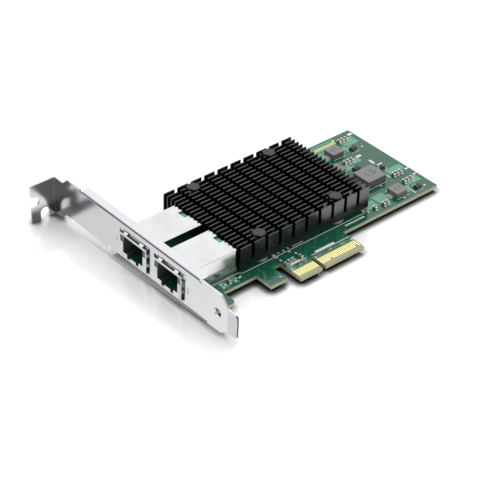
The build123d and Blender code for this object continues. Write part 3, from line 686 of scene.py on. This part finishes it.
back_traces = finger_traces(7.0)
for k in range(8):
    x = 60.0 + 2.2 * k
    points = [(x, 9.4 + 0.5 * (k % 3)), (x, 17.0), (54.9 + 1.9 * k, 34.0)]
    back_traces += path(points, THIN_TRACE)
for centre in JACK_CENTRES.values():
    for k in range(4):
        rise = 0.55 * k
        y = centre - 1.0 + rise
        end = 38.0 + (centre - 38.0) * 0.4 + rise
        points = [(24.6, centre - 2.8 + 1.4 * k), (30.0, y), (40.0, y), (51.6, end)]
        back_traces += path(points, THIN_TRACE)
plates("back_traces", back_traces, BACK_COPPER, "trace_under_mask")

back_pours = [
    rect(125.7, 21.0, 134.6, 35.2),
    rect(126.0, 58.6, 134.0, 65.2),
    rect(106.4, 17.4, 113.4, 23.8),
    rect(106.2, 54.8, 121.4, 62.4),
]
plates("back_pours", back_pours, BACK_COPPER, "copper_under_mask")
back_gaps = finger_gaps((FIRST_FINGER, LAST_FINGER))
plates("back_finger_gaps", back_gaps, BACK_GAP, "finger_gap_shade")

# Solder lands under the small parts

lands = []
for x, y, count in CAPACITOR_ROWS:
    for k in range(count):
        centre = x + CAPACITOR_PITCH * (k - (count - 1) / 2)
        lands.append(rect(centre - 0.68, y - 1.55, centre + 0.68, y - 0.6))
        lands.append(rect(centre - 0.62, y + 0.6, centre + 0.62, y + 1.15))
for x, y in REGULATORS:
    for k in (-1, 0, 1):
        for side in (-1.75, 1.75):
            left, low = x + 0.8 * k - 0.25, y + side - 0.35
            lands.append(rect(left, low, left + 0.5, low + 0.7))
for _, x, y, _, half, reach, _, _ in INDUCTORS:
    for side in (-1, 1):
        near, far = sorted((x + side * half, x + side * (half + 1.75)))
        lands.append(rect(near, y - reach, far, y + reach))
plates("solder_lands", lands, FRONT_INK, "tinned_metal")

# Tops of the jacks, with painted light: dark plates where the spring leaves are cut from the
# shield, in place of the holes, painted shade; a thin grey strip along the fold of each top,
# painted shade;
# and a light green patch on the board in the notch, painted highlight where it lies in open light

for jack, centre in JACK_CENTRES.items():
    # Dark plates in place of the holes the spring leaves are cut from: painted shade
    opening_shade = [
        rect(-0.95, centre - 3.9, -0.05, centre + 3.9),
        rect(-0.95, centre + 6.4, -0.05, centre + 8.5),
        rect(-0.95, centre - 8.5, -0.05, centre - 6.4),
    ]
    heights = (JACK_TOP - SUNK, JACK_TOP + 0.02)
    plates(jack + "_openings", opening_shade, heights, "shadow_plastic")
    # A thin grey strip along the fold of the top: painted shade
    fold_shade_strip = [rect(0.4, centre - 8.78, 27.7, centre - 8.62)]
    heights = (JACK_TOP - SUNK, JACK_TOP + 0.01)
    plates(jack + "_seam", fold_shade_strip, heights, "shield_fold_shade")
    # A light green patch on the board in the notch: painted highlight, the board's green where it
    # lies in open light
    _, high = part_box(jack + "_inner_boards")
    end, top = high[0] / MM, high[2] / MM
    notch_light_patch = [rect(25.4, centre - 0.6, end - 0.02, centre + 2.3)]
    plates(jack + "_notch_land", notch_light_patch, (top - SUNK, top + 0.02), "notch_highlight_green")

# Plain digits on the inductors and beside the ports

FLAT = Matrix.Identity(3)
ON_BRACKET = Matrix(((0, 0, -1), (-1, 0, 0), (0, 1, 0)))
DIGIT_DEPTH = 0.012


def stamp(text, name, place, size, turn, material):
    """Plain digits laid on a part, as a thin piece of their own."""
    curve = bpy.data.curves.new(name, "FONT")
    curve.body = text
    curve.size = size * MM
    curve.extrude = DIGIT_DEPTH * MM
    curve.align_x = "CENTER"
    curve.align_y = "CENTER"
    source = bpy.data.objects.new(name + "_text", curve)
    mesh = bpy.data.meshes.new_from_object(source)
    mesh_data = bmesh.new()
    mesh_data.from_mesh(mesh)
    matrix = Matrix.Translation(Vector(place) * MM) @ turn.to_4x4()
    bmesh.ops.transform(mesh_data, matrix=matrix, verts=mesh_data.verts)
    bpy.data.objects.remove(source)
    bpy.data.curves.remove(curve)
    bpy.data.meshes.remove(mesh)
    return add_piece(name, mesh_data, material)


for part, x, y, top, _, _, number, size in INDUCTORS:
    name = part + "_inductor_digits"
    stamp(number, name, (x, y, top), size, FLAT, "marking_ink")
for digit, y in (("1", 62.9), ("2", 17.2)):
    place = (0.0, y, 4.4)
    stamp(digit, "port_digit_" + digit, place, 3.4, ON_BRACKET, "bracket_ink")


# Camera


def place_camera():
    """The camera that took the photograph."""
    forward = (CAMERA_AIM - CAMERA_PLACE).normalized()
    right = (CAMERA_RIGHT - forward * CAMERA_RIGHT.dot(forward)).normalized()
    up = right.cross(forward)
    data = bpy.data.cameras.new("camera")
    data.sensor_width = SENSOR_WIDTH
    data.lens = FOCAL_PIXELS / PICTURE_PIXELS * SENSOR_WIDTH
    data.clip_end = CAMERA_REACH
    camera = bpy.data.objects.new("camera", data)
    turn = Matrix((right, up, -forward)).transposed().to_4x4()
    camera.matrix_world = Matrix.Translation(CAMERA_PLACE) @ turn
    bpy.context.scene.collection.objects.link(camera)
    bpy.context.scene.camera = camera


# Floor and world. Reaches and limits are in metres.

FLOOR_SIZE = 3.0
FLOOR_LEVEL = 1.12
FLOOR_ROUGHNESS = 0.05
# Shade on the floor close under the card
FLOOR_SHADE_REACH = 0.0035
FLOOR_SHADE_DEPTH = 3.6
# The floor mirrors more close under the card
MIRROR_REACH = 0.006
MIRROR_CLOSE = 0.42
MIRROR_CLOSE_AT = 0.35
MIRROR_FAR = 0.10
# What metal sees in place of the floor: shade under the board, by the tab and by its finger
METAL_SHADE_REACH = 0.010
METAL_SHADE_DEPTH = 3.0
METAL_SHADE_ZONE = [("X", 0.002, 0.008)]
TAB_SHADE_REACH = 0.012
TAB_SHADE_DEPTH = 4.0
TAB_SHADE_LEAST = 0.25
TAB_SHADE_ZONE = [("Y", 0.0970, 0.1010), ("Y", 0.1068, 0.1066)]
FINGER_SHADE = 0.14
FINGER_SHADE_ZONE = [("X", -0.005, -0.007), ("Y", 0.0985, 0.1020), ("Y", 0.1068, 0.1066)]

STUDIO_LEVEL = 0.95
STUDIO_LEAST = 0.22
# Direction from the card, where the patch starts and is full as a cosine, change of level
STUDIO_PATCHES = [
    ((0.54, 0.60, 0.59), 0.60, 0.97, 0.25),
    ((0.0, 0.0, 1.0), 0.20, 1.00, 0.40),
    ((-0.61, 0.29, -0.74), 0.905, 0.965, 0.45),
    ((0.72, -0.50, -0.48), 0.940, 0.985, 1.10),
    ((0.50, -0.80, -0.33), 0.945, 0.990, 0.45),
    ((-0.54, -0.60, -0.59), 0.55, 0.85, -0.59),
    ((-0.80, 0.59, 0.08), 0.86, 0.96, -0.90),
    ((-0.54, -0.60, 0.59), 0.10, 0.85, -0.85),
]


def opaque(value):
    return (value, value, value, 1)


def near_shade(tree, level, reach, depth):
    """A grey that deepens where something is close above the floor."""
    near = add_node(
        tree, "ShaderNodeAmbientOcclusion", {"Color": opaque(level), "Distance": reach}
    )
    shade = add_node(tree, "ShaderNodeGamma", {"Color": near.outputs["Color"], "Gamma": depth})
    return shade.outputs["Color"]


def zone(tree, spot, limits):
    """1 inside soft limits along X or Y, else 0."""
    inside = 1.0
    for axis, start, end in limits:
        inside = soft_step(tree, spot[axis], start, end, inside)
    return inside


def floor_seen_in_metal(tree):
    """White, with shade in the zones beside the card."""
    spot = split(tree, "Object")
    under_board = near_shade(tree, 1.0, METAL_SHADE_REACH, METAL_SHADE_DEPTH)
    by_tab = near_shade(tree, 1.0, TAB_SHADE_REACH, TAB_SHADE_DEPTH)
    by_tab = mix(tree, 1.0, by_tab, opaque(TAB_SHADE_LEAST), "LIGHTEN")
    tint = WHITE
    for limits, shade in (
        (METAL_SHADE_ZONE, under_board),
        (TAB_SHADE_ZONE, by_tab),
        (FINGER_SHADE_ZONE, opaque(FINGER_SHADE)),
    ):
        tint = mix(tree, zone(tree, spot, limits), tint, shade)
    return tint


def lay_floor():
    """A glossy white floor, dark close under the card. Metal sees the world through it."""
    mesh = bpy.data.meshes.new("floor")
    near, far = -FLOOR_SIZE, FLOOR_SIZE
    corners = [(near, near), (far, near), (far, far), (near, far)]
    mesh.from_pydata([floor_point(x, y) for x, y in corners], [], [(0, 1, 2, 3)])
    floor = bpy.data.objects.new("floor", mesh)
    bpy.context.scene.collection.objects.link(floor)
    material, tree, output = node_tree("floor")
    under = near_shade(tree, FLOOR_LEVEL, FLOOR_SHADE_REACH, FLOOR_SHADE_DEPTH)
    diffuse = add_node(tree, "ShaderNodeBsdfDiffuse", {"Color": under})
    gloss = add_node(
        tree, "ShaderNodeBsdfGlossy", {"Color": WHITE, "Roughness": FLOOR_ROUGHNESS}
    )
    close_by = add_node(tree, "ShaderNodeAmbientOcclusion", {"Distance": MIRROR_REACH})
    mirror = add_node(
        tree,
        "ShaderNodeMapRange",
        {
            "Value": close_by.outputs["AO"],
            "From Min": MIRROR_CLOSE_AT,
            "From Max": 1.0,
            "To Min": MIRROR_CLOSE,
            "To Max": MIRROR_FAR,
        },
    )
    body = add_node(
        tree,
        "ShaderNodeMixShader",
        {"Fac": mirror.outputs["Result"], 1: diffuse.outputs[0], 2: gloss.outputs[0]},
    )
    clear = add_node(tree, "ShaderNodeBsdfTransparent", {"Color": floor_seen_in_metal(tree)})
    ray = add_node(tree, "ShaderNodeLightPath")
    choose = add_node(
        tree,
        "ShaderNodeMixShader",
        {"Fac": ray.outputs["Is Glossy Ray"], 1: body.outputs[0], 2: clear.outputs[0]},
    )
    tree.links.new(choose.outputs[0], output.inputs["Surface"])
    mesh.materials.append(material)


def set_world():
    """Soft white studio with brighter and darker patches. The camera itself sees white."""
    world = bpy.data.worlds.new("studio")
    bpy.context.scene.world = world
    world.use_nodes = True
    tree = world.node_tree
    tree.nodes.clear()
    output = add_node(tree, "ShaderNodeOutputWorld")
    way = add_node(tree, "ShaderNodeTexCoord").outputs["Generated"]
    level = STUDIO_LEVEL
    for axis, start, end, change in STUDIO_PATCHES:
        angle = add_node(
            tree,
            "ShaderNodeVectorMath",
            {0: way, 1: Vector(axis).normalized()},
            operation="DOT_PRODUCT",
        )
        patch = soft_step(tree, angle.outputs["Value"], start, end, change)
        level = compute(tree, "ADD", level, patch)
    level = compute(tree, "MAXIMUM", level, STUDIO_LEAST)
    studio = add_node(tree, "ShaderNodeBackground", {"Color": WHITE, "Strength": level})
    white = add_node(tree, "ShaderNodeBackground", {"Color": WHITE, "Strength": 1.0})
    ray = add_node(tree, "ShaderNodeLightPath")
    choose = add_node(
        tree,
        "ShaderNodeMixShader",
        {"Fac": ray.outputs["Is Camera Ray"], 1: studio.outputs[0], 2: white.outputs[0]},
    )
    tree.links.new(choose.outputs[0], output.inputs["Surface"])


place_camera()
lay_floor()
set_world()

view = bpy.context.scene.view_settings
view.view_transform = "Standard"
